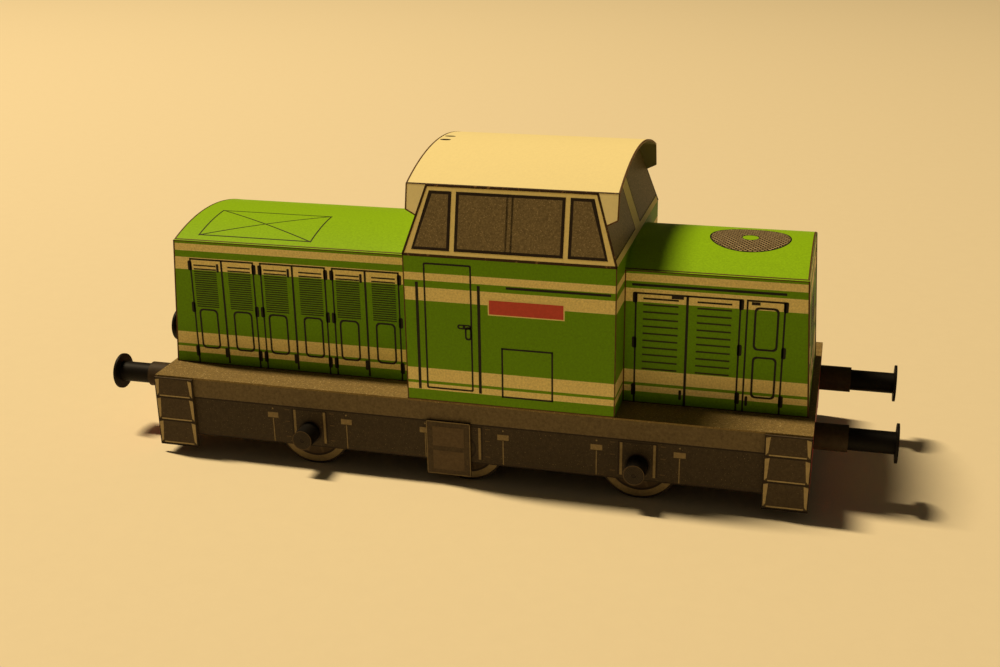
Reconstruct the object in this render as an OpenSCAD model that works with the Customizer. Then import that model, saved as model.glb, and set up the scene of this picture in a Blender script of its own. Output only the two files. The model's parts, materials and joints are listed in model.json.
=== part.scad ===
// Card model of a three-axle diesel shunting locomotive, in millimetres.
// +X is the front (short hood), +Y the left side, +Z up. The origin is on the
// rail plane, midway between the furthest buffer heads.

/* [Card] */
// Thickness of the printed sheets
card = 0.25; // [0.15:0.01:0.4]
// Thickness of the laminated inner frame plates
frame_card = 1; // [0.5:0.1:1.4]
// Thickness of the laminated wheels
wheel_card = 1.2; // [0.6:0.1:1.5]
// Thickness of the doubled card of the steps
step_card = 0.4; // [0.2:0.05:0.6]
// Play left between glued pieces that sit round each other
glue_gap = 0.02; // [0.01:0.01:0.05]

/* [Deck] */
// Length of the deck
deck_l = 93.5; // [77:0.5:115]
// Width of the deck and of the cab
deck_w = 34.66; // [32:0.1:42]

/* [Hoods] */
// Width of both hoods
hood_w = 23.04; // [18:0.1:28]
// Height of the hood eaves above the deck
hood_h = 18.85; // [15:0.1:20]
// Rise of the arched hood roofs
hood_rise = 2; // [1:0.1:2.4]
// Deck left clear behind the long hood
long_hood_gap = 0.69; // [0.3:0.1:3]
// Deck left clear in front of the short hood
short_hood_gap = 0.94; // [0.3:0.1:3]
// How far the end of the long hood leans in at the eaves
long_hood_rake = 1.31; // [0:0.1:3]
// How far the end of the short hood leans in at the eaves
short_hood_rake = 1.05; // [0:0.1:3]

/* [Cab] */
// Height of the belt line above the tops of the hoods
belt_over_hood = 0; // [0:0.1:4]
// Length of the cab at deck level
cab_l = 28.93; // [24:0.1:35]
// Middle of the cab, forward of the middle of the deck
cab_x = 6.55; // [2:0.1:10]
// Height of the leaning window band
band_h = 9.09; // [7:0.1:12]
// How far the end windows lean in
band_lean_x = 2.98; // [1:0.1:4]
// How far the side windows lean in
band_lean_y = 2.13; // [1:0.1:3]

/* [Cab roof] */
// Overhang of the roof beyond the tops of the end windows
roof_overhang = 2.8; // [2:0.1:5]
// Rise of the arched cab roof
roof_rise = 2.95; // [2:0.1:5]
// Drop of a cheek flap's outer edge below the eaves
flap_drop = 3.3; // [2:0.1:4]
// Drop of a cheek flap's toe below the eaves
flap_toe = 4; // [3:0.1:6]

/* [Running gear] */
// Diameter of the wheels
wheel_d = 11; // [9:0.1:14]
// Gap between the tops of the wheels and the deck
wheel_headroom = 0.91; // [0.5:0.05:2]
// Gap between a wheel and the side frame
wheel_side_gap = 1.08; // [0.5:0.05:3]
// Diameter of the rolled axles
axle_d = 2.9; // [2:0.1:3.5]
// Length of the front and rear axles outside each side frame
axle_stub = 3.1; // [1:0.1:6]
// Card left below the bearing holes, down to the bottom of the frames
bearing_margin = 0.7; // [0.4:0.1:1.5]
// Middle axle to front axle
front_wheelbase = 24.2; // [16:0.1:28]
// Middle axle to rear axle
rear_wheelbase = 22.9; // [16:0.1:28]
// Radial play of the axles in their bearing holes
bearing_play = 0.05; // [0.01:0.01:0.1]
// Gap between a wheel and the inner frame plate
wheel_gap = 0.5; // [0.3:0.1:1]

/* [Buffers] */
// Distance between the buffer centres
buffer_gauge = 20.95; // [16:0.1:24]
// Drop of the buffer centres below the top of the deck
buffer_drop = 2.96; // [2.8:0.1:4]
// Diameter of the buffer sleeves
sleeve_d = 3.65; // [3.4:0.05:4.5]
// Length of the buffer sleeves
sleeve_l = 4.4; // [3:0.1:6]
// Diameter of the buffer plungers
plunger_d = 3; // [2:0.1:3.2]
// Diameter of the buffer heads
head_d = 5.3; // [4:0.1:7]
// Thickness of the buffer heads
head_t = 0.35; // [0.2:0.05:0.6]
// Beam to head face of both front buffers
front_buffer_l = 10.8; // [8:0.1:13]
// Beam to head face of the rear right buffer
rear_right_buffer_l = 9.7; // [8:0.1:13]
// Beam to head face of the rear left buffer
rear_left_buffer_l = 11.2; // [8:0.1:13]

/* [Steps] */
// Width of a corner step
step_w = 6; // [4:0.1:8]
// Height of the bottom of all the steps above the rails
step_clear = 1.3; // [0.5:0.1:3]
// Top of a corner step, below the top of the deck
step_top = 0.25; // [0.25:0.05:1]
// Width of a cab step
cab_step_w = 6.3; // [4:0.1:8]
// Back wall of the cab to the near edge of a cab step
cab_step_x = 2.62; // [0:0.1:6]
// Top of a cab step, below the top of the deck
cab_step_top = 2.86; // [1:0.1:4]

/* [Hidden] */
wheel_r = wheel_d / 2;
axle_r = axle_d / 2;
bearing_r = axle_r + bearing_play;

rear_reach = max(rear_right_buffer_l, rear_left_buffer_l);
deck_cx = (rear_reach - front_buffer_l) / 2;   // middle of the deck
rear_x = deck_cx - deck_l / 2;
front_x = deck_cx + deck_l / 2;
half_w = deck_w / 2;
deck_under = wheel_d + wheel_headroom;
deck_h = deck_under + card;                    // top of the deck above the rails
frame_bottom = wheel_r - bearing_r - bearing_margin;

hood_y = hood_w / 2;
hood_eave = deck_h + hood_h;
cab_rear_x = deck_cx + cab_x - cab_l / 2;
cab_front_x = cab_rear_x + cab_l;
cab_mid_x = (cab_rear_x + cab_front_x) / 2;
belt = hood_eave + hood_rise + belt_over_hood;
eave = belt + band_h;
eave_y = half_w - band_lean_y;
roof_l = cab_l - 2 * band_lean_x + 2 * roof_overhang;

wheel_face_y = half_w - card - wheel_side_gap;
axle_reach = half_w + axle_stub;
front_axle_x = deck_cx + front_wheelbase;
middle_axle_x = deck_cx;
rear_axle_x = deck_cx - rear_wheelbase;
outer_axles = [front_axle_x, rear_axle_x];
all_axles = [front_axle_x, middle_axle_x, rear_axle_x];
inner_frame_y = wheel_face_y - wheel_card - wheel_gap;

buffer_y = buffer_gauge / 2;
buffer_z = deck_h - buffer_drop;

arc_fn = 180;        // smoothness of the arched roofs
arc_steps = 24;      // steps along the arched top of an end sheet
round_fn = 64;       // smoothness of wheels, axles and buffers

hood_green = "#79b51c";
cab_green = "#6cab18";
roof_cream = "#f3e3b4";
deck_khaki = "#8f7c50";
frame_grey = "#4a4136";
beam_red = "#b0302a";
black = "#1d1a18";
wheel_brown = "#6b5a48";

// Radius of an arch of half width y that rises by h
function arch_r(y, h) = (y * y + h * h) / (2 * h);

// [y, z] points just under the underside of an arched sheet that stands on the
// level z, from +y to -y
function arch_points(y, h, z) =
    let (r = arch_r(y, h), under_r = r - card - glue_gap, under_y = sqrt(pow(under_r, 2) - pow(r - h, 2)))
    [for (i = [0 : arc_steps])
        let (u = under_y * (1 - 2 * i / arc_steps)) [u, z - (r - h) + sqrt(max(0, under_r * under_r - u * u))]];

// A box from one corner to the opposite corner
module block(a, b) {
    translate(a) cube(b - a);
}

// A solid between an outer loop of points and an inner loop that has as many
module between(outer, inner) {
    n = len(outer);
    polyhedron(
        points = concat(outer, inner),
        faces = concat(
            [[for (i = [0 : n - 1]) i]],
            [[for (i = [0 : n - 1]) 2 * n - 1 - i]],
            [for (i = [0 : n - 1]) [(i + 1) % n, i, n + i, n + (i + 1) % n]]
        )
    );
}

// A cylinder along X that starts at x
module rod_x(r, x, l) {
    translate([x, 0, 0]) rotate([0, 90, 0]) cylinder(r = r, h = l, $fn = round_fn);
}

// A cylinder along Y between two y positions, round an axle at x
module rod_y(r, x, y_from, y_to) {
    translate([x, y_to, wheel_r]) rotate([90, 0, 0]) cylinder(r = r, h = y_to - y_from, $fn = round_fn);
}

// An arched sheet of half width y and rise h, standing on the level z
module arched_sheet(y, h, z, x_from, x_to) {
    r = arch_r(y, h);
    intersection() {
        translate([0, 0, z - (r - h)]) difference() {
            rotate([0, 90, 0]) translate([0, 0, x_from]) cylinder(r = r, h = x_to - x_from, $fn = arc_fn);
            rotate([0, 90, 0]) translate([0, 0, x_from - 1])
                cylinder(r = r - card, h = x_to - x_from + 2, $fn = arc_fn);
        }
        block([x_from - 1, -y - 1, z], [x_to + 1, y + 1, z + h + 1]);
    }
}

// Deck and frames

module deck() {
    color(deck_khaki) block([rear_x, -half_w, deck_under], [front_x, half_w, deck_h]);
}

module side_frame() {
    color(frame_grey) difference() {
        block([rear_x, -half_w, frame_bottom], [front_x, card - half_w, deck_under]);
        for (x = outer_axles) rod_y(bearing_r, x, -half_w - 1, -half_w + card + 1);
    }
}

module right_side_frame() { side_frame(); }
module left_side_frame() { mirror([0, 1, 0]) side_frame(); }

module inner_frame() {
    color(frame_grey) difference() {
        block([rear_x + card, -inner_frame_y, frame_bottom],
            [front_x - card, frame_card - inner_frame_y, deck_under]);
        for (x = all_axles) rod_y(bearing_r, x, -inner_frame_y - 1, frame_card - inner_frame_y + 1);
    }
}

module right_inner_frame() { inner_frame(); }
module left_inner_frame() { mirror([0, 1, 0]) inner_frame(); }

module end_beam(x) {
    color(beam_red) block([x, card - half_w, frame_bottom], [x + card, half_w - card, deck_under]);
}

module front_beam() { end_beam(front_x - card); }
module rear_beam() { end_beam(rear_x); }

// Steps

module step_plate(x, w, top) {
    color(frame_grey) block([x, -half_w - step_card, step_clear], [x + w, -half_w, deck_h - top]);
}

module front_right_steps() { step_plate(front_x - step_w, step_w, step_top); }
module front_left_steps() { mirror([0, 1, 0]) front_right_steps(); }
module rear_right_steps() { step_plate(rear_x, step_w, step_top); }
module rear_left_steps() { mirror([0, 1, 0]) rear_right_steps(); }
module right_cab_steps() { step_plate(cab_rear_x + cab_step_x, cab_step_w, cab_step_top); }
module left_cab_steps() { mirror([0, 1, 0]) right_cab_steps(); }

// Buffers, each drawn forwards from a beam whose face is at x = 0

module sleeve() {
    difference() {
        rod_x(sleeve_d / 2, 0, sleeve_l);
        rod_x(plunger_d / 2 + glue_gap, -1, sleeve_l + 2);
    }
}

module plunger(l) { rod_x(plunger_d / 2, 0, l - head_t); }
module head(l) { rod_x(head_d / 2, l - head_t, head_t); }

// Places a piece on the front beam, or turned round on the rear beam
module on_front(y) { translate([front_x, y, buffer_z]) children(); }
module on_rear(y) { translate([rear_x, y, buffer_z]) mirror([1, 0, 0]) children(); }

module front_buffer_sleeves() { color(black) for (y = [-buffer_y, buffer_y]) on_front(y) sleeve(); }
module front_buffer_plungers() {
    color(black) for (y = [-buffer_y, buffer_y]) on_front(y) plunger(front_buffer_l);
}
module front_buffer_heads() { color(black) for (y = [-buffer_y, buffer_y]) on_front(y) head(front_buffer_l); }

module rear_buffer_sleeves() { color(black) for (y = [-buffer_y, buffer_y]) on_rear(y) sleeve(); }
module rear_buffer_plungers() {
    color(black) {
        on_rear(-buffer_y) plunger(rear_right_buffer_l);
        on_rear(buffer_y) plunger(rear_left_buffer_l);
    }
}
module rear_buffer_heads() {
    color(black) {
        on_rear(-buffer_y) head(rear_right_buffer_l);
        on_rear(buffer_y) head(rear_left_buffer_l);
    }
}

// Hoods. A hood is drawn forwards from the cab wall at x = 0, with its end
// at x = l, leaning back by rake at the eaves.

module hood_side(l, rake) {
    color(hood_green) translate([0, card - hood_y, deck_h]) rotate([90, 0, 0]) linear_extrude(card)
        polygon([[0, 0], [l, 0], [l - rake, hood_h], [0, hood_h]]);
}

module hood_roof(l, rake) {
    color(hood_green) arched_sheet(hood_y, hood_rise, hood_eave, 0, l - rake);
}

module hood_end(l, rake) {
    side = hood_y - card;
    top = arch_points(hood_y, hood_rise, hood_eave);
    loop = concat([[side, deck_h], [side, hood_eave]], top, [[-side, hood_eave], [-side, deck_h]]);
    outer = [for (p = loop) [l - rake * (p.y - deck_h) / hood_h, p.x, p.y]];
    inner = [for (p = outer) p - [card, 0, 0]];
    color(hood_green) between(outer, inner);
}

long_hood_l = cab_rear_x - rear_x - long_hood_gap;
short_hood_l = front_x - short_hood_gap - cab_front_x;

module on_cab_rear() { translate([cab_rear_x, 0, 0]) mirror([1, 0, 0]) children(); }
module on_cab_front() { translate([cab_front_x, 0, 0]) children(); }

module long_hood_right_side() { on_cab_rear() hood_side(long_hood_l, long_hood_rake); }
module long_hood_left_side() { mirror([0, 1, 0]) long_hood_right_side(); }
module long_hood_roof() { on_cab_rear() hood_roof(long_hood_l, long_hood_rake); }
module long_hood_end() { on_cab_rear() hood_end(long_hood_l, long_hood_rake); }
module short_hood_right_side() { on_cab_front() hood_side(short_hood_l, short_hood_rake); }
module short_hood_left_side() { mirror([0, 1, 0]) short_hood_right_side(); }
module short_hood_roof() { on_cab_front() hood_roof(short_hood_l, short_hood_rake); }
module short_hood_end() { on_cab_front() hood_end(short_hood_l, short_hood_rake); }

// Cab

module cab_side() {
    color(cab_green) block([cab_rear_x, -half_w, deck_h], [cab_front_x, card - half_w, belt]);
}

module cab_wall(x) {
    color(cab_green) block([x, card - half_w, deck_h], [x + card, half_w - card, belt]);
}

module cab_right_side() { cab_side(); }
module cab_left_side() { mirror([0, 1, 0]) cab_side(); }
module cab_front_wall() { cab_wall(cab_front_x - card); }
module cab_rear_wall() { cab_wall(cab_rear_x); }

// Front end of the outside of the window band at height z, less an inset
function band_x(z, inset) = cab_front_x - band_lean_x * (z - belt) / band_h - inset;
// Left side of the outside of the window band at height z, less an inset
function band_y(z, inset) = half_w - band_lean_y * (z - belt) / band_h - inset;
// The rear end mirrors the front end about the middle of the cab
function band_back_x(z, inset) = 2 * cab_mid_x - band_x(z, inset);

module side_windows() {
    loop = [[-1, belt], [-1, eave], [1, eave], [1, belt]];
    function corner(p, inset) =
        [p.x > 0 ? band_x(p.y, inset) : band_back_x(p.y, inset), -band_y(p.y, inset), p.y];
    color(roof_cream) between([for (p = loop) corner(p, 0)], [for (p = loop) corner(p, card)]);
}

module end_windows() {
    top = arch_points(eave_y, roof_rise, eave);
    function corner(y, z, inset) = [band_x(z, inset), sign(y) * band_y(z, inset), z];
    function face(inset) = concat(
        [corner(1, belt, inset), corner(1, eave, inset)],
        [for (p = top) [band_x(p.y, inset), p.x, p.y]],
        [corner(-1, eave, inset), corner(-1, belt, inset)]
    );
    color(roof_cream) between(face(0), face(card));
}

module cab_right_windows() { side_windows(); }
module cab_left_windows() { mirror([0, 1, 0]) side_windows(); }
module cab_front_windows() { end_windows(); }
module cab_rear_windows() { translate([2 * cab_mid_x, 0, 0]) mirror([1, 0, 0]) end_windows(); }

// A cheek flap at the front right corner of the roof, in the plane of the side windows
module flap() {
    roof_x = cab_mid_x + roof_l / 2;
    loop = [
        [band_x(eave, 0), eave],
        [roof_x, eave],
        [roof_x, eave - flap_drop],
        [band_x(eave - flap_toe, 0), eave - flap_toe]
    ];
    between([for (p = loop) [p.x, -band_y(p.y, 0), p.y]], [for (p = loop) [p.x, -band_y(p.y, card), p.y]]);
}

module cab_roof() {
    color(roof_cream) {
        arched_sheet(eave_y, roof_rise, eave, cab_mid_x - roof_l / 2, cab_mid_x + roof_l / 2);
        for (x = [0, 1], y = [0, 1])
            translate([cab_mid_x, 0, 0]) mirror([x, 0, 0]) mirror([0, y, 0]) translate([-cab_mid_x, 0, 0]) flap();
    }
}

// Wheelsets

module axle(x, reach) { color(black) rod_y(axle_r, x, -reach, reach); }

module wheel(x) {
    color(wheel_brown) difference() {
        rod_y(wheel_r, x, -wheel_face_y, wheel_card - wheel_face_y);
        rod_y(axle_r + glue_gap, x, -wheel_face_y - 1, wheel_card - wheel_face_y + 1);
    }
}

module front_axle() { axle(front_axle_x, axle_reach); }
module middle_axle() { axle(middle_axle_x, wheel_face_y); }
module rear_axle() { axle(rear_axle_x, axle_reach); }
module front_right_wheel() { wheel(front_axle_x); }
module front_left_wheel() { mirror([0, 1, 0]) wheel(front_axle_x); }
module middle_right_wheel() { wheel(middle_axle_x); }
module middle_left_wheel() { mirror([0, 1, 0]) wheel(middle_axle_x); }
module rear_right_wheel() { wheel(rear_axle_x); }
module rear_left_wheel() { mirror([0, 1, 0]) wheel(rear_axle_x); }

deck();
right_side_frame();
left_side_frame();
right_inner_frame();
left_inner_frame();
front_beam();
rear_beam();
front_right_steps();
front_left_steps();
rear_right_steps();
rear_left_steps();
right_cab_steps();
left_cab_steps();
front_buffer_sleeves();
front_buffer_plungers();
front_buffer_heads();
rear_buffer_sleeves();
rear_buffer_plungers();
rear_buffer_heads();
long_hood_right_side();
long_hood_left_side();
long_hood_roof();
long_hood_end();
short_hood_right_side();
short_hood_left_side();
short_hood_roof();
short_hood_end();
cab_right_side();
cab_left_side();
cab_front_wall();
cab_rear_wall();
cab_right_windows();
cab_left_windows();
cab_front_windows();
cab_rear_windows();
cab_roof();
front_axle();
middle_axle();
rear_axle();
front_right_wheel();
front_left_wheel();
middle_right_wheel();
middle_left_wheel();
rear_right_wheel();
rear_left_wheel();
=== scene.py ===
"""Printed faces, papers and light for a card model of a diesel shunting locomotive.

The cut sheets come from the frame. This script gives each sheet its printed card, lays the
printed lines, panes and plates on it as thin films of ink, and sets the camera, floor and lamp.
Lengths are millimetres until a mesh is made. +X is the front, +Y the left side, +Z up.
"""

import json
import math

import bpy
import numpy as np
from mathutils import Matrix, Vector


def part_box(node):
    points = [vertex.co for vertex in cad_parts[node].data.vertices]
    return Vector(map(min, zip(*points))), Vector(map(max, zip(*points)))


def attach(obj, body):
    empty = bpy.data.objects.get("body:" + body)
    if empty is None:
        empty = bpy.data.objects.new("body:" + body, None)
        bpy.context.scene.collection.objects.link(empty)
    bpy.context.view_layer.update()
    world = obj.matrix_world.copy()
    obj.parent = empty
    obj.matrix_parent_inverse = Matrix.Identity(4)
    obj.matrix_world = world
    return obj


MM = 0.001                  # metres in a millimetre
INK_RISE = 0.02             # how far a film of ink stands above its sheet
INK_SINK = 0.03             # how far it reaches into the sheet, so that no gap shows
LINE = 0.24                 # a fine printed line
BOLD = 0.4                  # a heavy printed line
CURVE_STEP = 0.8            # longest straight stretch of ink across an arched roof

# ---------------------------------------------------------------- sizes from the frame

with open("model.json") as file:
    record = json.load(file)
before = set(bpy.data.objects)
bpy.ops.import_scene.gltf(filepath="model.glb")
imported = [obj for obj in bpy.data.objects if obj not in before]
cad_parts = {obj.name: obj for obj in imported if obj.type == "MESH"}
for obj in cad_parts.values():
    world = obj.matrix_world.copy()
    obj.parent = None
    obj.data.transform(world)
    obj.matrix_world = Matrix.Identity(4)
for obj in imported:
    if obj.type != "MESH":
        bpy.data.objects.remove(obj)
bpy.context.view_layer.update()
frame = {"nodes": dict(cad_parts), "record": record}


def corners(node):
    """Lowest and highest corner of a sheet, in millimetres."""
    low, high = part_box(node)
    return np.array(low) / MM, np.array(high) / MM


deck_low, deck_high = corners("deck")
card = deck_high[2] - deck_low[2]
deck_top, half_w = deck_high[2], deck_high[1]

long_low, long_high = corners("long_hood_right_side")
short_high = corners("short_hood_right_side")[1]
hood_y, hood_eave = -long_low[1], long_high[2]
hood_apex = corners("long_hood_roof")[1][2]

cab_low, cab_high = corners("cab_right_side")
cab_rear, cab_front, belt = cab_low[0], cab_high[0], cab_high[2]
cab_mid = (cab_rear + cab_front) / 2

side_band_high = corners("cab_right_windows")[1]
end_band_low, end_band_high = corners("cab_front_windows")
eave, eave_y = side_band_high[2], card - side_band_high[1]
side_lean = (half_w - eave_y) / (eave - belt)
end_lean = (end_band_high[0] - end_band_low[0] - card) / (end_band_high[2] - belt)
roof_low, roof_high = corners("cab_roof")
side_top = (cab_rear + end_lean * (eave - belt), cab_front - end_lean * (eave - belt))
FLAP_DROP = 3.3             # drop of a cheek flap's outer edge below the eaves

plate_low, plate_high = corners("right_side_frame")
SILL_H = 3.06               # height of the sill, down from the top of the deck
sill_z = deck_top - SILL_H


# ---------------------------------------------------------------- where print is laid

def flat(origin, along, up, turn=1):
    """Lays print on a flat sheet: a point is origin + u along + v up + h outward, where outward
    is along x up, turned round for a sheet on the other side."""
    along, up = np.array(along, float), np.array(up, float)
    up = up / np.linalg.norm(up)
    axes = np.array([along, up, turn * np.cross(along, up)])
    return lambda p: np.array(origin, float) + p @ axes


def arched(half_width, rise, foot):
    """Lays print on an arched roof: u is x, v the arc length from the ridge towards the left, and
    the point is at angle v / radius round the arch's centre, radius + h from it."""
    radius = (half_width ** 2 + rise ** 2) / (2 * rise)
    centre = foot + rise - radius

    def place(p):
        turn, reach = p[:, 1] / radius, radius + p[:, 2]
        return np.column_stack([p[:, 0], reach * np.sin(turn), centre + reach * np.cos(turn)])
    return place


def on_side(y, side, foot=0.0):
    """A sheet along the right side (side 1) or the left side (-1): u is x, v the height over foot."""
    return flat((0, -side * y, foot), (1, 0, 0), (0, 0, 1), side)


# ---------------------------------------------------------------- printed shapes
# A shape is a pair of edges with as many points each, and whether it closes on itself.

def line(a, b, width=LINE, step=None):
    """A straight line: points from a to b, moved half the width to each side."""
    a, b = np.array(a, float), np.array(b, float)
    length = np.linalg.norm(b - a)
    count = 2 if step is None else math.ceil(length / step) + 1
    middle = a + np.linspace(0, 1, count)[:, None] * (b - a)
    aside = np.array([a[1] - b[1], b[0] - a[0]]) / length * width / 2
    return middle + aside, middle - aside, False


def patch(left, right):
    """A filled patch between a left edge and a right edge, both from the bottom up."""
    return np.array(left, float), np.array(right, float), False


def block(u0, u1, v0, v1):
    """A filled rectangle."""
    return patch([(u0, v0), (u0, v1)], [(u1, v0), (u1, v1)])


def oval(u, v, half_u, half_v, steps=12):
    """A filled oval: at each height sin t its edges are cos t to the left and the right."""
    t = np.linspace(-1.5, 1.5, steps)
    height = v + half_v * np.sin(t)
    return (np.column_stack([u - half_u * np.cos(t), height]),
            np.column_stack([u + half_u * np.cos(t), height]), False)


def slug(u, v, half_u, half_v):
    """A filled oblong with rounded ends. Towards an end, height rises by half_u times (sine - 1)
    and the half width is half_u times the root of the cosine, down to a blunt tip."""
    first, tip = 0.1, 0.3       # first angle of the rounding, and the tip's share of the width
    t = np.linspace(first, math.pi / 2, 4)
    height = half_v - half_u * (1 - np.sin(t))
    width = half_u * np.cos(t - first) ** 0.5
    width[-1] = half_u * tip
    heights = np.concatenate([-height[::-1], height])
    widths = np.concatenate([width[::-1], width])
    return (np.column_stack([u - widths, v + heights]),
            np.column_stack([u + widths, v + heights]), False)


def ring(outer, inner):
    """A closed band between two loops, both anticlockwise."""
    return np.array(inner, float), np.array(outer, float), True


def circle(u, v, radius, steps=48):
    """Points round a circle."""
    t = np.linspace(0, 2 * math.pi, steps, endpoint=False)
    return np.column_stack([u + radius * np.cos(t), v + radius * np.sin(t)])


def band(u, v, inner, outer, steps=48):
    """A round band between two radii."""
    return ring(circle(u, v, outer, steps), circle(u, v, inner, steps))


def rounded(u0, u1, v0, v1, radius, steps=5):
    """Points round a rectangle whose corners are quarter circles."""
    t = np.linspace(0, math.pi / 2, steps)
    middles = ((u1 - radius, v0 + radius), (u1 - radius, v1 - radius),
               (u0 + radius, v1 - radius), (u0 + radius, v0 + radius))
    arcs = [np.column_stack([u + radius * np.cos(t + (k - 1) * math.pi / 2),
                             v + radius * np.sin(t + (k - 1) * math.pi / 2)])
            for k, (u, v) in enumerate(middles)]
    return np.concatenate(arcs)


def rounded_line(u0, u1, v0, v1, radius=0.6, width=LINE):
    """The outline of a rectangle with rounded corners."""
    return ring(rounded(u0, u1, v0, v1, radius),
                rounded(u0 + width, u1 - width, v0 + width, v1 - width, radius - width / 2))


def box_line(u0, u1, v0, v1, width=LINE, step=None):
    """The outline of a rectangle, as four lines that lie inside it."""
    w = width / 2
    return [line((u0, v0 + w), (u1, v0 + w), width, step),
            line((u0, v1 - w), (u1, v1 - w), width, step),
            line((u0 + w, v0), (u0 + w, v1), width, step),
            line((u1 - w, v0), (u1 - w, v1), width, step)]


def spiral(u, v, inner, outer, turns, width):
    """The edge of a rolled strip: a band whose radius grows evenly with its angle."""
    t = np.linspace(0, 1, int(turns * 24))
    angle, radius = 2 * math.pi * turns * t, inner + (outer - inner) * t
    direction = np.column_stack([np.cos(angle), np.sin(angle)])
    return ((u, v) + (radius - width / 2)[:, None] * direction,
            (u, v) + (radius + width / 2)[:, None] * direction, False)


def film(left, right, closed):
    """One shape as a closed prism in (u, v, h), with its faces."""
    along, across = left[1] - left[0], right[0] - left[0]
    if along[0] * across[1] - along[1] * across[0] > 0:
        left, right = right, left
    n = len(left)
    points = np.concatenate([np.column_stack([edge, np.full(n, h)])
                             for h in (-INK_SINK, INK_RISE) for edge in (left, right)])
    i = np.arange(n if closed else n - 1)
    j = (i + 1) % n
    low_left, low_right, top_left, top_right = 0, n, 2 * n, 3 * n
    faces = [np.stack([top_left + i, top_right + i, top_right + j, top_left + j], 1),
             np.stack([low_left + i, low_left + j, low_right + j, low_right + i], 1),
             np.stack([low_left + i, top_left + i, top_left + j, low_left + j], 1),
             np.stack([low_right + i, low_right + j, top_right + j, top_right + i], 1)]
    if not closed:
        end = n - 1
        faces.append(np.array([[low_left, low_right, top_right, top_left],
                               [low_left + end, top_left + end, top_right + end, low_right + end]]))
    return points, np.concatenate(faces)


def volume(points, faces):
    """Signed volume inside closed quads: a sixth of a . (b x c), summed over their triangles."""
    a, b, c, d = (points[faces[:, k]] for k in range(4))
    return (np.sum(a * np.cross(b, c)) + np.sum(a * np.cross(c, d))) / 6


def printed(name, place, inks, body="locomotive"):
    """One printed sheet: inks maps a material to its shapes. The films are laid by place, turned
    right side out, and joined to one mesh that rides on the body."""
    points, faces, owners, first = [], [], [], 0
    for number, shapes in enumerate(inks.values()):
        for shape in shapes:
            p, f = film(*shape)
            points.append(place(p))
            faces.append(f + first)
            owners.append(np.full(len(f), number))
            first += len(p)
    points, faces = np.concatenate(points), np.concatenate(faces)
    if volume(points - points.mean(0), faces) < 0:
        faces = faces[:, ::-1]
    mesh = bpy.data.meshes.new(name)
    mesh.from_pydata((points * MM).tolist(), [], faces.tolist())
    for ink in inks:
        mesh.materials.append(ink)
    mesh.polygons.foreach_set("material_index", np.concatenate(owners).astype(np.int32))
    mesh.update()
    piece = bpy.data.objects.new(name, mesh)
    bpy.context.scene.collection.objects.link(piece)
    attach(piece, body)
    return piece


# ---------------------------------------------------------------- papers and inks

def colour(code):
    """Linear colour of an sRGB hex value."""
    parts = [int(code[k:k + 2], 16) / 255 for k in (1, 3, 5)]
    return [c / 12.92 if c <= 0.04045 else ((c + 0.055) / 1.055) ** 2.4 for c in parts] + [1]


def add(tree, kind, inputs=None, **settings):
    """Adds a node, sets its own settings, and gives each named input a value or a link."""
    node = tree.nodes.new(kind)
    for key, value in settings.items():
        setattr(node, key, value)
    for socket, value in (inputs or {}).items():
        if isinstance(value, bpy.types.NodeSocket):
            tree.links.new(value, node.inputs[socket])
        else:
            node.inputs[socket].default_value = value
    return node


def ramp(tree, factor, stops, interpolation="LINEAR"):
    """The colour that a list of (place, colour) stops gives a factor."""
    node = add(tree, "ShaderNodeValToRGB", {"Fac": factor})
    node.color_ramp.interpolation = interpolation
    marks = node.color_ramp.elements
    marks[0].position, marks[0].color = stops[0][0], stops[0][1]
    marks[1].position, marks[1].color = stops[-1][0], stops[-1][1]
    for place, shade in stops[1:-1]:
        marks.new(place).color = shade
    return node.outputs["Color"]


FLECK = 0.17                # size of the bare spots where toner has flaked
FLECK_EDGE = 0.05           # softness of their edge, as a step in the noise
CLOUD_RANGE = (0.3, 0.7)    # noise between which the toner goes from thick to thin
FIBRE_DEPTH = 0.03          # depth of the paper's relief


def grey(value):
    """A grey that darkens or lightens what it multiplies."""
    return [value, value, value, 1]


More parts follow.
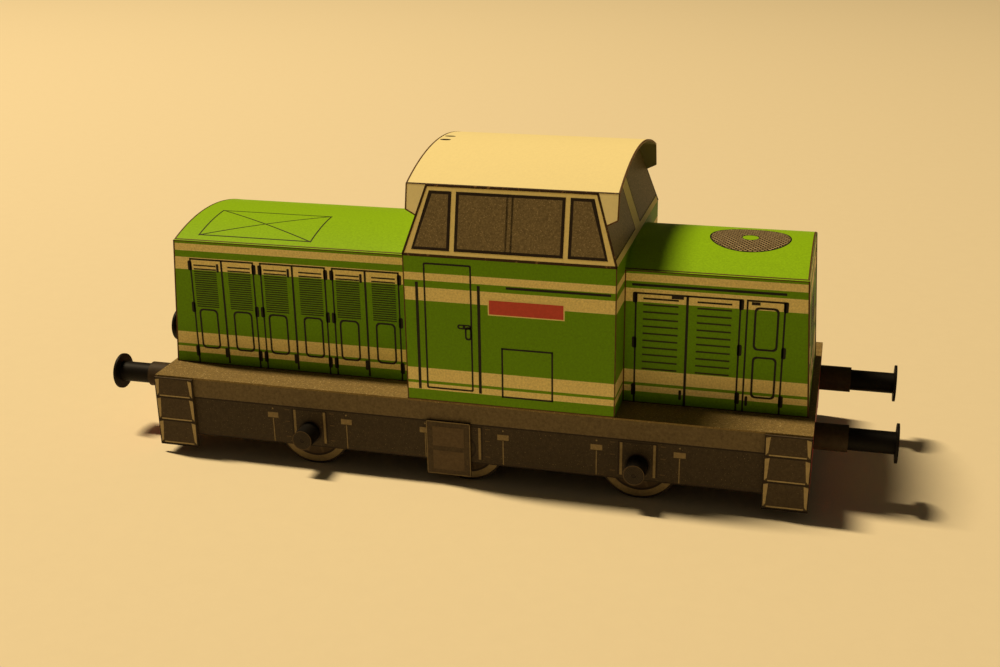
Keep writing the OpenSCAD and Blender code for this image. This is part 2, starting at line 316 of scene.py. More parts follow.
def paper(name, tint, roughness, mottle=0.12, grain=0.5, fleck=None, flecks=0.66, relief=0.25,
          fibre=0.35, gloss=0.2):
    """Printed or plain paper. tint is a hex colour, or a function that makes a colour from the
    tree and the place. Toner lies unevenly, in clouds of grain millimetres; fleck is the colour
    of the bare spots where it has flaked; fibre millimetres is the size of the paper's relief."""
    made = bpy.data.materials.new(name)
    made.use_nodes = True
    tree = made.node_tree
    shader = tree.nodes["Principled BSDF"]
    spot = add(tree, "ShaderNodeTexCoord").outputs["Object"]
    shade = tint(tree, spot) if callable(tint) else colour(tint)
    clouds = add(tree, "ShaderNodeTexNoise",
                 {"Vector": spot, "Scale": 1 / (grain * MM), "Detail": 3.0, "Roughness": 0.7})
    patches = ramp(tree, clouds.outputs["Fac"],
                   [(CLOUD_RANGE[0], grey(1 - mottle)), (CLOUD_RANGE[1], grey(1 + mottle))])
    mixed = add(tree, "ShaderNodeMix", {6: shade, 7: patches, "Factor": 1.0},
                data_type="RGBA", blend_type="MULTIPLY").outputs[2]
    if fleck:
        spots = add(tree, "ShaderNodeTexNoise",
                    {"Vector": spot, "Scale": 1 / (FLECK * MM), "Detail": 2.0, "Roughness": 0.6})
        mask = ramp(tree, spots.outputs["Fac"], [(flecks, grey(0)), (flecks + FLECK_EDGE, grey(1))])
        mixed = add(tree, "ShaderNodeMix", {6: mixed, 7: colour(fleck), "Factor": mask},
                    data_type="RGBA").outputs[2]
    tree.links.new(mixed, shader.inputs["Base Color"])
    fibres = add(tree, "ShaderNodeTexNoise",
                 {"Vector": spot, "Scale": 1 / (fibre * MM), "Detail": 4.0, "Roughness": 0.65})
    bump = add(tree, "ShaderNodeBump",
               {"Height": fibres.outputs["Fac"], "Strength": relief, "Distance": FIBRE_DEPTH * MM})
    tree.links.new(bump.outputs["Normal"], shader.inputs["Normal"])
    shader.inputs["Roughness"].default_value = roughness
    shader.inputs["Specular IOR Level"].default_value = gloss
    return made


LIME = "#90be10"            # the roofs' green
SHADED_SIDE_GREEN = "#6c9a02"           # the roofs' green printed darker for the sides: painted shade
CREAM = "#f0dc92"           # pale stripes and window frames
RAW = "#b59a6c"             # bare card, unprinted
SILL = "#6a5b3f"            # the lighter sill under the deck
PLATE = "#3e3323"           # the dark side frame below it

# Cream stripes, as heights above the deck
STRIPES = ((1.6, 2.52), (2.92, 4.74), (14.45, 16.3), (17.3, 18.35))


def stripes(tree, spot):
    """Green card with cream stripes at set heights above the deck. Its green is the roofs' green printed
    darker, as painted shade.
    """
    height = add(tree, "ShaderNodeSeparateXYZ", {"Vector": spot}).outputs["Z"]
    scaled = add(tree, "ShaderNodeMapRange",
                 {"Value": height, "From Min": deck_top * MM, "From Max": belt * MM}).outputs["Result"]
    full = belt - deck_top
    stops = [(0, colour(SHADED_SIDE_GREEN))]
    for low, high in STRIPES:
        stops += [(low / full, colour(CREAM)), (high / full, colour(SHADED_SIDE_GREEN))]
    return ramp(tree, scaled, stops, "CONSTANT")


def sill_and_plate(tree, spot):
    """Frame card: a lighter sill under the deck and a darker plate below it."""
    height = add(tree, "ShaderNodeSeparateXYZ", {"Vector": spot}).outputs["Z"]
    scaled = add(tree, "ShaderNodeMapRange",
                 {"Value": height, "From Min": 0.0, "From Max": deck_top * MM}).outputs["Result"]
    return ramp(tree, scaled, [(0, colour(PLATE)), (sill_z / deck_top, colour(SILL))], "CONSTANT")


def two_faced(face, back, edge):
    """A sheet that is printed outside, bare inside and brown where it is cut: inside is where the
    surface faces down or towards the middle, cut is where it faces along X."""
    below, towards, along = -0.5, -1e-4, 0.7    # normal's Z, normal's Y times y in metres, normal's X

    def shade(tree, spot):
        coordinates = add(tree, "ShaderNodeTexCoord")
        facing = add(tree, "ShaderNodeSeparateXYZ", {"Vector": coordinates.outputs["Normal"]})
        place = add(tree, "ShaderNodeSeparateXYZ", {"Vector": spot})
        down = add(tree, "ShaderNodeMath", {0: facing.outputs["Z"], 1: below}, operation="LESS_THAN")
        inward = add(tree, "ShaderNodeMath", {0: facing.outputs["Y"], 1: place.outputs["Y"]},
                     operation="MULTIPLY")
        inner = add(tree, "ShaderNodeMath", {0: inward.outputs[0], 1: towards}, operation="LESS_THAN")
        inside = add(tree, "ShaderNodeMath", {0: down.outputs[0], 1: inner.outputs[0]},
                     operation="MAXIMUM")
        length = add(tree, "ShaderNodeMath", {0: facing.outputs["X"]}, operation="ABSOLUTE")
        cut = add(tree, "ShaderNodeMath", {0: length.outputs[0], 1: along}, operation="GREATER_THAN")
        faces = add(tree, "ShaderNodeMix",
                    {6: colour(face), 7: colour(back), "Factor": inside.outputs[0]}, data_type="RGBA")
        return add(tree, "ShaderNodeMix",
                   {6: faces.outputs[2], 7: colour(edge), "Factor": cut.outputs[0]},
                   data_type="RGBA").outputs[2]
    return shade


def grille_weave(tree, spot):
    """A printed grille: rows of pale dashes on brown, half a dash apart from row to row."""
    dash = 0.9                  # the length that the widths and heights below are shares of
    return add(tree, "ShaderNodeTexBrick",
               {"Vector": spot, "Color1": colour("#c9b489"), "Color2": colour("#b19c70"),
                "Mortar": colour("#3a2a16"), "Scale": 1 / (dash * MM), "Mortar Size": 0.13,
                "Mortar Smooth": 0.1, "Brick Width": 0.7, "Row Height": 0.45}).outputs["Color"]


def worn_fold(tree, spot):
    """A scored fold: brown where the print has cracked, with pale chips along it."""
    chip = 0.5                  # size of a chip
    chips = add(tree, "ShaderNodeTexNoise",
                {"Vector": spot, "Scale": 1 / (chip * MM), "Detail": 2.0}).outputs["Fac"]
    return ramp(tree, chips, [(0.62, colour("#3d2a16")), (0.68, colour("#7a5d38"))])


# Laser-printed card: satin toner over the sheet's own fibre relief.
striped_card = paper("striped_printed_card", stripes, 0.55, mottle=0.17, grain=0.28, gloss=0.12)
green_card = paper("green_printed_card", two_faced(LIME, RAW, "#7a5a2c"), 0.55, mottle=0.12,
                   grain=0.3, gloss=0.12)
# Its inside is a darker, greener grey than the bare card: painted shade, tinted by green light bounced
# from the hood roof.
roof_card = paper("cream_roof_card", two_faced("#fdeeb0", "#8f8560", "#8a6a38"), 0.6, mottle=0.03,
                  grain=0.4, relief=0.12)
window_card = paper("cream_window_card", CREAM, 0.6, mottle=0.07, grain=0.35)
# Heavily inked grey-brown card: the toner is thick and has flaked in small pale spots.
deck_card = paper("khaki_deck_card", "#7f6a3e", 0.6, mottle=0.3, grain=0.35,
                  fleck="#d0ba84", flecks=0.64)
frame_card = paper("frame_card", sill_and_plate, 0.6, mottle=0.28, grain=0.4,
                   fleck="#8a7650", flecks=0.65)
step_card = paper("step_card", "#4a3d2a", 0.6, mottle=0.25, grain=0.4,
                  fleck="#7d6948", flecks=0.67)
# Grey board glued up from layers, unprinted.
plain_card = paper("grey_board", "#5b4f40", 0.8, mottle=0.1, grain=0.8, relief=0.4)
beam_card = paper("red_printed_card", "#a8332a", 0.55, mottle=0.12, grain=0.5)
# Paper coloured right through, rolled tight and rubbed smooth with glue.
black_paper = paper("black_rolled_paper", "#120f0b", 0.55, mottle=0.25, grain=0.7, gloss=0.12)
sleeve_paper = paper("brown_rolled_paper", "#3c3122", 0.6, mottle=0.25, grain=0.6, gloss=0.15)
wheel_card = paper("wheel_board", "#4c3d2b", 0.65, mottle=0.15, grain=0.6)

# Toner films.
black_ink = paper("black_toner", "#1d1811", 0.5, mottle=0.2, grain=0.5)
brown_ink = paper("brown_toner", "#5a3c1c", 0.6, mottle=0.25, grain=0.6)
pane_ink = paper("window_grey_toner", "#7a6a48", 0.5, mottle=0.38, grain=0.3,
                 fleck="#a8946a", flecks=0.61)
cream_ink = paper("cream_print", CREAM, 0.6, mottle=0.06, grain=0.5)
red_ink = paper("red_toner", "#c94c3c", 0.5, mottle=0.08, grain=0.5)
louvre_ink = paper("faint_olive_toner", "#32360f", 0.6, mottle=0.15, grain=0.4)
roll_ink = paper("rolled_edge", "#453a2c", 0.6, mottle=0.2, grain=0.4)
light_ink = paper("pale_grey_toner", "#8d7a55", 0.6, mottle=0.2, grain=0.4)
bar_ink = paper("pale_step_toner", "#b09c70", 0.6, mottle=0.15, grain=0.5)
mid_ink = paper("mid_grey_toner", "#5e4d36", 0.6, mottle=0.2, grain=0.5)
dark_ink = paper("dark_brown_toner", "#2a2016", 0.6, mottle=0.2, grain=0.5)
grille_ink = paper("grille_print", grille_weave, 0.6, mottle=0.1, grain=0.6)
fold_ink = paper("cracked_fold", worn_fold, 0.7, mottle=0.1, grain=0.6)

SLOT_CARDS = {
    "deck_card": deck_card, "frame_card": frame_card, "plain_frame_card": plain_card,
    "beam_card": beam_card, "step_card": step_card, "sleeve_paper": sleeve_paper,
    "black_paper": black_paper, "hood_side_card": striped_card, "hood_roof_card": green_card,
    "hood_end_card": striped_card, "cab_card": striped_card, "window_card": window_card,
    "cab_roof_card": roof_card, "wheel_card": wheel_card,
}


def dress_nodes():
    """Gives each sheet of the frame the card of its slot."""
    for subpart in frame["record"]["subparts"]:
        node = frame["nodes"][subpart["node"]]
        node.data.materials.clear()
        node.data.materials.append(SLOT_CARDS[subpart["material_slot"]])


# ---------------------------------------------------------------- hood prints

# Heights are above the deck. Places along a hood are from its foot or from the cab's front wall.
HINGE_W = 0.62
HINGES = ((15.1, 0.75), (8.75, 0.8), (1.9, 0.85))   # height and half length of each barrel
LONG_TOP, SHORT_TOP = 16.24, 15.84                  # tops of the doors
FIRST_PAIR, PAIR_PITCH, PAIR_W, DOOR_W = 3.46, 10.98, 10.05, 5.0
LONG_LOUVRES = np.linspace(8.95, 14.25, 17)         # heights of the fine louvres
LONG_SLITS = (14.65, 15.2)                          # two heavier lines above them
LONG_PANEL = (2.4, 8.6)                             # foot and top of the rounded panel
SHORT_LEFT, SHORT_MIDDLE, SHORT_RIGHT = 1.44, 8.39, 15.39
SINGLE_DOOR, SINGLE_END = 16.04, 21.09
SHORT_LOUVRES = np.linspace(5.04, 14.14, 10)
SHORT_SLIT = 15.0
SINGLE_PANELS = ((8.89, 14.9), (2.1, 8.05))
RAIL_Z, RAIL_START, RAIL_W = 16.87, 1.0, 0.34       # handrail line over the short hood's doors


def hinges(u):
    """Three black hinge barrels one above the other."""
    return [slug(u, v, HINGE_W / 2, half) for v, half in HINGES]


def open_frame(u0, u1, top, width=LINE):
    """A door's outline that runs down to the deck: two sides and a top."""
    return [line((u0 + width / 2, 0), (u0 + width / 2, top), width),
            line((u1 - width / 2, 0), (u1 - width / 2, top), width),
            line((u0, top - width / 2), (u1, top - width / 2), width)]


def long_hood_doors():
    """Three pairs of doors with fine louvres above and a rounded panel below, as heavy lines and
    as the finer, paler louvres."""
    louvre, panel = (0.6, 4.1), (0.8, 3.8)      # from a door's hinges to where each starts and ends
    heavy, fine = [], []
    for start in long_low[0] + FIRST_PAIR + PAIR_PITCH * np.arange(3):
        end = start + PAIR_W
        heavy += open_frame(start, end, LONG_TOP)
        heavy.append(line((start + DOOR_W, 0.3), (start + DOOR_W, LONG_TOP), 0.3))
        heavy += hinges(start) + hinges(end)
        for edge, way in ((start, 1), (end, -1)):
            a, b = sorted(edge + way * reach for reach in louvre)
            fine += [line((a, v), (b, v), 0.17) for v in LONG_LOUVRES]
            heavy += [line((a, v), (b, v), 0.2) for v in LONG_SLITS]
            a, b = sorted(edge + way * reach for reach in panel)
            heavy.append(rounded_line(a, b, *LONG_PANEL, 0.65, 0.27))
        heavy.append(slug(start + 4.35, 14.95, 0.18, 0.65))     # handle
        heavy.append(slug(start + 4.65, 1.95, 0.22, 0.75))      # latch
    return heavy, fine


def short_hood_doors():
    """A pair of doors with coarse louvres, and a single door with two rounded panels."""
    left, middle, right = (cab_front + at for at in (SHORT_LEFT, SHORT_MIDDLE, SHORT_RIGHT))
    single, end = cab_front + SINGLE_DOOR, cab_front + SINGLE_END
    heavy = open_frame(left, right, SHORT_TOP) + open_frame(single, end, SHORT_TOP)
    heavy.append(line((middle, 0), (middle, SHORT_TOP), 0.34))
    heavy += hinges(left) + hinges(right) + hinges(end)
    fine = []
    for a, b in ((left + 1.1, left + 5.8), (middle + 1.3, middle + 5.8)):
        fine += [line((a, v), (b, v), LINE) for v in SHORT_LOUVRES]
        heavy.append(line((a, SHORT_SLIT), (b, SHORT_SLIT), LINE))
    for v0, v1 in SINGLE_PANELS:
        heavy.append(rounded_line(single + 1.05, end - 0.8, v0, v1, 0.6, 0.28))
    # Handles at the tops of the doors, and latches at their feet.
    heavy += [line((middle - 2.1, 15.4), (middle - 0.5, 15.4), BOLD),
              line((single + 0.65, 15.35), (single + 1.75, 15.35), BOLD),
              slug(middle - 0.6, 1.6, 0.18, 0.7), slug(single + 0.55, 1.6, 0.18, 0.7)]
    return heavy, fine


def side_edges(foot_end, top_end, cab_end):
    """Brown cut edges round a hood side, whose far end leans."""
    top = hood_eave - deck_top
    return [line((foot_end, 0), (top_end, top), 0.22),
            line((cab_end, 0), (cab_end, top), 0.16),
            line((foot_end, 0.06), (cab_end, 0.06), 0.14),
            line((top_end, top - 0.08), (cab_end, top - 0.08), 0.14)]


def print_hood_sides():
    """Both sides of both hoods: doors, hinges, a handrail line over the short hood's doors."""
    rake_long = corners("long_hood_roof")[0][0]
    rake_short = corners("short_hood_roof")[1][0]
    rail = [line((cab_front + RAIL_START, RAIL_Z), (cab_front + SINGLE_END, RAIL_Z), RAIL_W)]
    long_heavy, long_fine = long_hood_doors()
    short_heavy, short_fine = short_hood_doors()
    for side, hand in ((1, "right"), (-1, "left")):
        place = on_side(hood_y, side, deck_top)
        printed(f"long_hood_{hand}_print", place,
                {black_ink: long_heavy, louvre_ink: long_fine,
                 brown_ink: side_edges(long_low[0], rake_long, cab_rear - 0.1)})
        printed(f"short_hood_{hand}_print", place,
                {black_ink: short_heavy + rail, louvre_ink: short_fine,
                 brown_ink: side_edges(short_high[0], rake_short, cab_front + 0.1)})


def print_hood_ends():
    """Hood ends: a pair of doors, two lamps and the cut edges."""
    door, door_top = 4.6, 13.4                  # half width and top of the pair of doors
    panel, louvres = (2.54, 8.29), np.linspace(9.2, 12.6, 9)
    lamp_u, lamp_v, lamp_r, rim_r = 8.2, 7.6, 1.25, 1.6
    height = hood_eave - deck_top
    for name, foot, way in (("long_hood_end", long_low[0], -1), ("short_hood_end", short_high[0], 1)):
        top = corners(name.replace("end", "roof"))[0 if way < 0 else 1][0]
        lean = way * (foot - top) / height
        place = flat((foot, 0, deck_top), (0, 1, 0), (-way * lean, 0, 1), way)
        lines = open_frame(-door, door, door_top) + [line((0, 0.3), (0, door_top))]
        lines += hinges(-door) + hinges(door)
        for a in (-3.8, 0.7):
            lines.append(rounded_line(a, a + 3.1, *panel))
            lines += [line((a, v), (a + 3.1, v), 0.22) for v in louvres]
        lamps = [oval(u, lamp_v, lamp_r, lamp_r, 24) for u in (-lamp_u, lamp_u)]
        rims = [band(u, lamp_v, lamp_r, rim_r) for u in (-lamp_u, lamp_u)]
        edge = hood_y - 0.1
        edges = [line((u, 0), (u, height), 0.2) for u in (-edge, edge)]
        printed(f"{name}_print", place, {black_ink: lines + rims, cream_ink: lamps, brown_ink: edges})


def print_hood_roofs():
    """Roof prints: a crossed hatch on the long hood, a round fan grille on the short one."""
    place = arched(hood_y, hood_apex - hood_eave, hood_eave)
    half = hood_y * 1.004       # out to just past the eaves along the arch
    low, high = corners("long_hood_roof")
    u0, u1, v0, v1 = low[0] + 3.2, low[0] + 20.7, -10.2, -1.7      # the hatch
    hatch = box_line(u0, u1, v0, v1, 0.2, CURVE_STEP)
    hatch += [line((u0, v0), (u1, v1), 0.18, CURVE_STEP),
              line((u0, v1), (u1, v0), 0.18, CURVE_STEP)]
    edges = [line((low[0] + 0.1, -half), (low[0] + 0.1, half), 0.2, CURVE_STEP)]
    edges += [line((low[0], v), (high[0], v), 0.2) for v in (-half + 0.1, half - 0.1)]
    printed("long_hood_roof_print", place, {louvre_ink: hatch, brown_ink: edges})
    low, high = corners("short_hood_roof")
    u, hub, fan = high[0] - 8.46, 1.2, 5.3      # the fan's middle, and the grille's two radii
    rings = np.linspace(hub, fan, 7)
    grille = [band(u, 0, a, b, 72) for a, b in zip(rings[:-1], rings[1:])]
    rims = [band(u, 0, fan, 5.5, 72), band(u, 0, 1.1, hub, 48)]
    edges = [line((high[0] - 0.1, -half), (high[0] - 0.1, half), 0.2, CURVE_STEP)]
    edges += [line((low[0], v), (high[0], v), 0.2) for v in (-half + 0.1, half - 0.1)]
    printed("short_hood_roof_print", place, {grille_ink: grille, black_ink: rims, brown_ink: edges})


# ---------------------------------------------------------------- cab prints

# Places on a cab side are forward of the cab's rear edge and above the deck: u0, u1, v0, v1.
CAB_DOOR = (2.85, 9.5, 1.85, 19.86)
CAB_HATCH = (13.45, 20.55, 1.4, 8.6)
PLATE_BORDER, PLATE_RIM = (11.7, 22.1, 13.1, 15.36), (0.16, 0.15)
GRAB_RAILS, GRAB_RISE = (1.87, 10.45), (1.7, 17.1)
LONG_RAIL, LONG_RAIL_Z = (14.2, 28.2), 17.04


def forward(u, box):
    """A box of places, moved forward by u."""
    return u + box[0], u + box[1], box[2], box[3]


def print_cab_sides():
    """Cab sides: door, handrails, lever, blank number plate, hatch and a fine line above it."""
    height = belt - deck_top
    u = cab_rear
    door = rounded_line(*forward(u, CAB_DOOR), 0.25, LINE)
    rails = [line((u + a, GRAB_RISE[0]), (u + a, GRAB_RISE[1]), BOLD) for a in GRAB_RAILS]
    lever = [rounded_line(*forward(u, (7.4, 9.35, 10.82, 11.5)), 0.33, 0.2),
             oval(u + 8.35, 11.16, 0.2, 0.2),
             rounded_line(*forward(u, (8.45, 9.4, 9.3, 11.2)), 0.4, LINE)]
    hatch = box_line(*forward(u, CAB_HATCH), LINE)
    fine = [line((u + LONG_RAIL[0], LONG_RAIL_Z), (u + LONG_RAIL[1], LONG_RAIL_Z), RAIL_W)]
    u0, u1, v0, v1 = forward(u, PLATE_BORDER)
    border = block(u0, u1, v0, v1)
    plate = block(u0 + PLATE_RIM[0], u1 - PLATE_RIM[0], v0 + PLATE_RIM[1], v1 - PLATE_RIM[1])
    edges = [line((u + 0.08, 0), (u + 0.08, height), 0.16),
             line((cab_front - 0.08, 0), (cab_front - 0.08, height), 0.16),
             line((u, 0.07), (cab_front, 0.07), 0.14)]
    fold = [line((u, height - 0.1), (cab_front, height - 0.1), 0.2)]
    for side, hand in ((1, "right"), (-1, "left")):
        printed(f"cab_{hand}_print", on_side(half_w, side, deck_top),
                {black_ink: [door] + rails + lever + hatch + fine, cream_ink: [border],
                 brown_ink: edges, fold_ink: fold})
        printed(f"cab_{hand}_plate", on_side(half_w + INK_RISE / 2, side, deck_top),
                {red_ink: [plate]})


def pane(left, right, rim):
    """A window: a dark rim round a pane. The edges run from the bottom up."""
    (a, b), (c, d) = np.array(left, float), np.array(right, float)
    outer = np.array([a, c, d, b])
    wide = 1.05                 # the rim's upright sides are this much heavier
    inner = outer + rim * np.array([(wide, 1), (-wide, 1), (-wide, -1), (wide, -1)])
    return ring(outer, inner), patch(inner[[0, 3]], inner[[1, 2]])


def print_side_windows():
    """Side windows: a trapezoid at each end and a double pane between them."""
    slant = (eave - belt) * math.hypot(1, side_lean)
    foot, head, rim, lean = 0.72, slant - 0.78, 0.4, 2.16
    first, post, past = 1.25, 6.5, 7.14     # from the cab's edge: first pane, and a post's two sides
    u0, u1 = cab_rear, cab_front
    shapes = [pane([(u0 + first, foot), (u0 + first + lean, head)],
                   [(u0 + post, foot), (u0 + post, head)], rim),
              pane([(u0 + past, foot), (u0 + past, head)],
                   [(u1 - past, foot), (u1 - past, head)], rim),
              pane([(u1 - post, foot), (u1 - post, head)],
                   [(u1 - first, foot), (u1 - first - lean, head)], rim)]
    rims = [shape[0] for shape in shapes]
    panes = [shape[1] for shape in shapes]
    rims += [line((cab_mid + a, foot + rim), (cab_mid + a, head - rim), 0.26) for a in (-0.35, 0.35)]
    run = end_lean * (eave - belt)
    folds = [line((u0 + 0.08, 0), (u0 + 0.08 + run, slant), 0.3),
             line((u1 - 0.08, 0), (u1 - 0.08 - run, slant), 0.3), line((u0, 0.08), (u1, 0.08), 0.18)]
    eaves = [line((u0 + run, slant - 0.12), (u1 - run, slant - 0.12), 0.28)]
    for side, hand in ((1, "right"), (-1, "left")):
        place = flat((0, -side * half_w, belt), (1, 0, 0), (0, side * side_lean, 1), side)
        printed(f"cab_{hand}_window_print", place,
                {dark_ink: rims, pane_ink: panes, fold_ink: folds + eaves})


def print_end_windows():
    """End windows: two panes from the mullion out to the corner, with arched tops under the roof."""
    foot, mullion, corner = 0.95, 1.95, 0.12
    clear = 0.1                 # from the arched top down to the roof's underside
    steps = 14                  # points along an arched top
    upright = math.hypot(1, end_lean)
    rise = roof_high[2] - eave
    radius = (eave_y ** 2 + rise ** 2) / (2 * rise) - card - clear
    middle = eave + rise - radius - card - clear

    def top(y):
        return (middle + np.sqrt(radius ** 2 - y ** 2) - belt) * upright

    def edge(v):
        return half_w - corner - side_lean * np.minimum(v / upright, eave - belt)
    across = np.linspace(0, 1, steps)
    y = mullion + across * (edge(top(eave_y)) - mullion)
    foot_y = mullion + across * (edge(foot) - mullion)
    for way, end in ((1, "front"), (-1, "rear")):
        x = cab_front if way > 0 else cab_rear
        place = flat((x, 0, belt), (0, 1, 0), (-way * end_lean, 0, 1), way)
        panes, rims = [], []
        for hand in (1, -1):
            low = np.column_stack([hand * foot_y, np.full(steps, foot)])
            high = np.column_stack([hand * y, top(y)])
            panes.append(patch(low, high))
            rims.append(line((hand * mullion, foot), (hand * mullion, top(mullion)), 0.22))
            rims.append(line((hand * mullion, foot), (hand * edge(foot), foot), 0.22))
        folds = [line((hand * (half_w - 0.06), 0), (hand * (eave_y - 0.06), (eave - belt) * upright), 0.16)
                 for hand in (1, -1)]
        printed(f"cab_{end}_window_print", place, {pane_ink: panes, dark_ink: rims, fold_ink: folds})


def print_cab_roof():
    """Cab roof: brown cut edges, also round the cheek flaps, and two small dark vents."""
    place = arched(eave_y, roof_high[2] - eave, eave)
    radius = (eave_y ** 2 + (roof_high[2] - eave) ** 2) / (2 * (roof_high[2] - eave))
    half = radius * math.asin(eave_y / radius)
    edges = [line((x, -half), (x, half), 0.2, CURVE_STEP)
             for x in (roof_low[0] + 0.1, roof_high[0] - 0.1)]
    folds = [line((roof_low[0], v), (roof_high[0], v), 0.24) for v in (-half + 0.1, half - 0.1)]
    vent_u, vent_size = roof_low[0] + 1.25, (0.8, 0.36)
    vents = [oval(vent_u, v, *vent_size) for v in (-1.25, 1.05)]
    printed("cab_roof_print", place, {brown_ink: edges, fold_ink: folds, black_ink: vents})
    slant = math.hypot(1, side_lean)
    toe, drop = (roof_low[2] - eave) * slant, FLAP_DROP * slant
    run = end_lean * (eave - roof_low[2])
    cuts = []
    for end, way, top in ((roof_low[0], 1, side_top[0]), (roof_high[0], -1, side_top[1])):
        outer, inner = end + way * 0.08, top - way * run
        cuts += [line((outer, 0), (outer, -drop), 0.18), line((outer, -drop), (inner, toe), 0.18)]
    for side, hand in ((1, "right"), (-1, "left")):
        place = flat((0, -side * eave_y, eave), (1, 0, 0), (0, side * side_lean, 1), side)
        printed(f"cab_{hand}_flap_print", place, {brown_ink: cuts})


# ---------------------------------------------------------------- frame, steps and running gear

def print_side_frames():
    """Side frames: the sill's shadow line, and by each axle a plaque, stem, guides with dark shade lines
    beside them, dashes, and a ring of painted shade round the axle hole.
    """
    axles = [np.mean([corners(f"{name}_axle")[0][0], corners(f"{name}_axle")[1][0]])
             for name in ("rear", "middle", "front")]
    foot = plate_low[2]
    plaque, plaque_half, plaque_z = 5.6, 0.8, (7.2, 8.0)       # from the axle, and heights
    guide, guide_z, shade = 2.25, (3.9, 8.7), 2.6
    dash, dash_half, dash_z = 3.4, 0.35, (4.45, 6.8, 8.6)
    dark = [line((plate_low[0], sill_z), (plate_high[0], sill_z), 0.2),
            line((plate_low[0], foot + 0.06), (plate_high[0], foot + 0.06), 0.12)]
    pale, soft = [], []
    for x in axles:
        for way in (-1, 1):
            u = x + way * plaque
            pale.append(block(u - plaque_half, u + plaque_half, *plaque_z))
            pale.append(line((u, foot + 0.2), (u, 7.1), 0.14))      # stem
            pale.append(oval(u, 8.6, 0.12, 0.12))                   # rivet
            pale.append(line((x + way * guide, guide_z[0]), (x + way * guide, guide_z[1]), 0.34))
            dark.append(line((x + way * shade, guide_z[0]), (x + way * shade, 8.8), 0.16))
            u = x + way * dash
            soft += [line((u - dash_half, v), (u + dash_half, v), 0.16) for v in dash_z]
        dark.append(line((x - shade, 8.8), (x + shade, 8.8), 0.16))
        # A dark ring just outside the axle hole: painted shade of the gap round the axle.
        dark.append(band(x, 5.5, 1.5, 1.75))
    for side, hand in ((1, "right"), (-1, "left")):
        printed(f"{hand}_frame_print", on_side(half_w, side),
                {dark_ink: dark, light_ink: pale, mid_ink: soft})


def ladder(u0, u1, top, rungs):
    """A printed ladder: in each opening two bevelled uprights, narrower at their feet, and a thin
    tread with its shadow below it."""
    pale, dark = [], []
    for low, high in zip(rungs, rungs[1:] + [top]):     # one opening: its tread and the next one
        pale.append(patch([(u0 + 0.18, low + 0.2), (u0 + 0.12, high - 0.35)],
                          [(u0 + 0.5, low + 0.6), (u0 + 0.72, high - 0.2)]))
        pale.append(patch([(u1 - 0.5, low + 0.6), (u1 - 0.72, high - 0.2)],
                          [(u1 - 0.18, low + 0.2), (u1 - 0.12, high - 0.35)]))
        pale.append(line((u0 + 0.6, low + 0.22), (u1 - 0.6, low + 0.22), 0.18))
        dark.append(line((u0 + 0.15, low - 0.02), (u1 - 0.15, low - 0.02), 0.28))
    return pale, dark + box_line(u0, u1, rungs[0] - 0.2, top, 0.12)


RUNGS = (0.2, 3.95, 7.6)    # treads, above the foot of the steps


def print_steps():
    """Corner ladders of three treads, and the cab steps with two plain panels."""
    for name in ("front_right", "front_left", "rear_right", "rear_left"):
        low, high = corners(f"{name}_steps")
        side = 1 if "right" in name else -1
        pale, dark = ladder(low[0], high[0], high[2], [low[2] + rung for rung in RUNGS])
        reach = max(-low[1], high[1])
        printed(f"{name}_steps_print", on_side(reach, side), {bar_ink: pale, dark_ink: dark})
    for hand, side in (("right", 1), ("left", -1)):
        low, high = corners(f"{hand}_cab_steps")
        middle = (low[2] + high[2]) / 2
        panels = [block(low[0] + 0.9, high[0] - 0.9, v, v + 2.9) for v in (low[2] + 0.7, middle + 0.3)]
        edges = box_line(low[0], high[0], low[2], high[2], 0.1)
        printed(f"{hand}_cab_steps_print", on_side(max(-low[1], high[1]), side),
                {mid_ink: panels, light_ink: edges})


def print_wheels():
    """Wheels: a dark tyre line, a pale rim, and faint spokes on both faces."""
    tread, rim_in, rim_foot = 0.28, 1.2, 1.5    # in from the wheel's edge: tyre line and pale rim
    spoke_in, spoke_out, spoke_w = 2.0, 3.9, 0.35
    for axle in ("front", "middle", "rear"):
        for hand, side in (("right", 1), ("left", -1)):
            low, high = corners(f"{axle}_{hand}_wheel")
            x, z, radius = (low[0] + high[0]) / 2, (low[2] + high[2]) / 2, (high[2] - low[2]) / 2
            tyre = [band(0, 0, radius - tread, radius - 0.02, 64),
                    band(0, 0, radius - rim_foot, radius - rim_in, 64)]
            rim = [band(0, 0, radius - rim_in, radius - tread, 64)]
            spokes = [line((spoke_in * math.cos(t), spoke_in * math.sin(t)),
                           (spoke_out * math.cos(t), spoke_out * math.sin(t)), spoke_w)
                      for t in np.arange(10) * math.pi / 5]
            faces = sorted((abs(low[1]), abs(high[1])))
            for name, reach, turn in (("inner", faces[0], -side), ("outer", faces[1], side)):
                place = flat((x, -side * reach, z), (1, 0, 0), (0, 0, 1), turn)
                printed(f"{axle}_{hand}_wheel_{name}_print", place,
                        {dark_ink: tyre, light_ink: rim, mid_ink: spokes},
                        f"{axle}_wheelset")


def print_axles():
    """Axle ends: the paper's rolled edge as a spiral of six turns round a dark hole."""
    skin, core, hole = 0.12, 0.3, 0.24
    for axle in ("front", "middle", "rear"):
        low, high = corners(f"{axle}_axle")
        x, z, radius = (low[0] + high[0]) / 2, (low[2] + high[2]) / 2, (high[2] - low[2]) / 2
        for hand, side in (("right", 1), ("left", -1)):
            place = flat((x, -side * high[1], z), (1, 0, 0), (0, 0, 1), side)
            printed(f"{axle}_{hand}_axle_end", place,
                    {roll_ink: [spiral(0, 0, core, radius - skin, 6, 0.1)],
                     mid_ink: [band(0, 0, radius - skin, radius - 0.01)],
                     dark_ink: [oval(0, 0, hole, hole, 16)]}, f"{axle}_wheelset")


# ---------------------------------------------------------------- stage

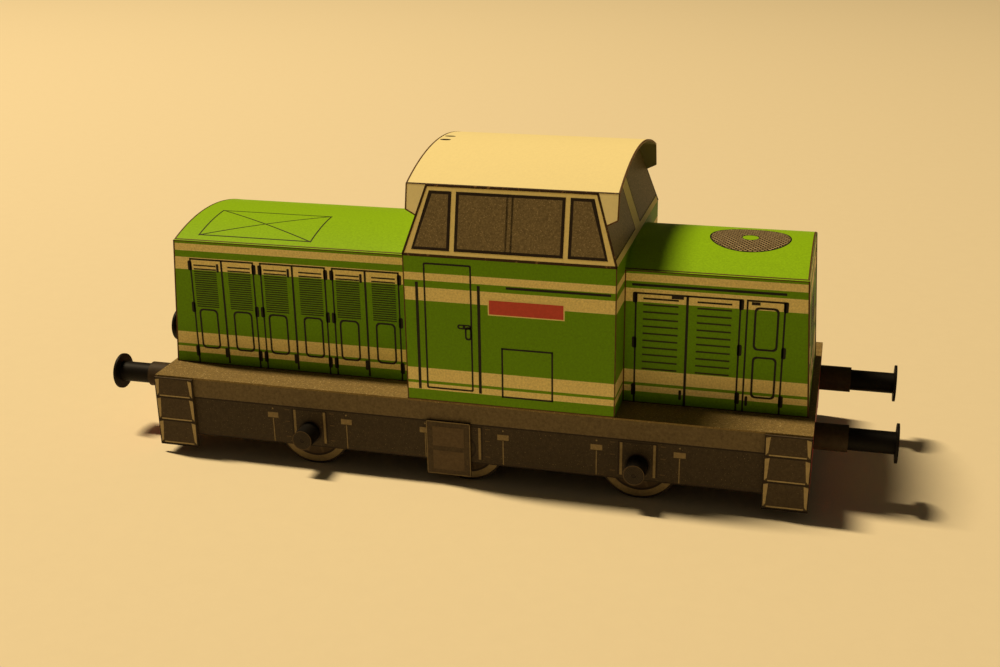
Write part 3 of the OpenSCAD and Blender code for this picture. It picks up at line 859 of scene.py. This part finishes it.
def set_camera():
    """Camera at the viewing angle: turned 15 degrees from the right side and 20 above level."""
    turn, rise, roll = math.radians(15.32), math.radians(20.48), math.radians(-0.897)
    distance = 192.55
    target = Vector((0.86, 0, 16.11))
    back = Vector((math.sin(turn) * math.cos(rise), -math.cos(turn) * math.cos(rise), math.sin(rise)))
    right = Vector((math.cos(turn), math.sin(turn), 0))
    up = back.cross(right)
    axes = (right * math.cos(roll) + up * math.sin(roll),
            up * math.cos(roll) - right * math.sin(roll), back)
    lens = bpy.data.cameras.new("camera")
    lens.lens, lens.sensor_width, lens.clip_start = 46.97, 36, 0.01
    camera = bpy.data.objects.new("camera", lens)
    place = Matrix.Translation((target + back * distance) * MM)
    camera.matrix_world = place @ Matrix(axes).transposed().to_4x4()
    bpy.context.scene.collection.objects.link(camera)
    bpy.context.scene.camera = camera


def set_lamp(name, direction, distance, size, power, tint):
    """An oval lamp at a distance in that direction from the model, facing it. Its size is across
    the model, then along it."""
    light = bpy.data.lights.new(name, "AREA")
    light.shape, light.size, light.size_y, light.energy = "ELLIPSE", size[0], size[1], power
    light.color = colour(tint)[:3]
    lamp = bpy.data.objects.new(name, light)
    aim = Vector(direction).normalized()
    lamp.location = aim * distance
    lamp.rotation_euler = aim.to_track_quat("Z", "Y").to_euler()
    bpy.context.scene.collection.objects.link(lamp)


def set_stage():
    """A pale floor, one warm oval key from above on the left, and a dim warm room."""
    half = 3000 * MM            # half the floor's width
    ends = ((-half, -half), (half, -half), (half, half), (-half, half))
    mesh = bpy.data.meshes.new("floor")
    mesh.from_pydata([(x, y, 0) for x, y in ends], [], [(0, 1, 2, 3)])
    # Smooth drawing paper: matt and close-grained.
    mesh.materials.append(paper("drawing_paper", "#efe2c2", 0.9, mottle=0.008, grain=3,
                                relief=0.03, gloss=0.1))
    floor = bpy.data.objects.new("floor", mesh)
    bpy.context.scene.collection.objects.link(floor)
    set_lamp("key", (-5, 0.8, 10), 1.6, (0.1, 0.5), 26.5, "#ffe6ba")
    world = bpy.data.worlds.new("room")
    world.use_nodes = True
    background = world.node_tree.nodes["Background"]
    background.inputs["Color"].default_value = colour("#ffe5bd")
    background.inputs["Strength"].default_value = 0.05
    bpy.context.scene.world = world
    bpy.context.scene.view_settings.view_transform = "Standard"


set_camera()
set_stage()
dress_nodes()
print_hood_sides()
print_hood_ends()
print_hood_roofs()
print_cab_sides()
print_side_windows()
print_end_windows()
print_cab_roof()
print_side_frames()
print_steps()
print_wheels()
print_axles()
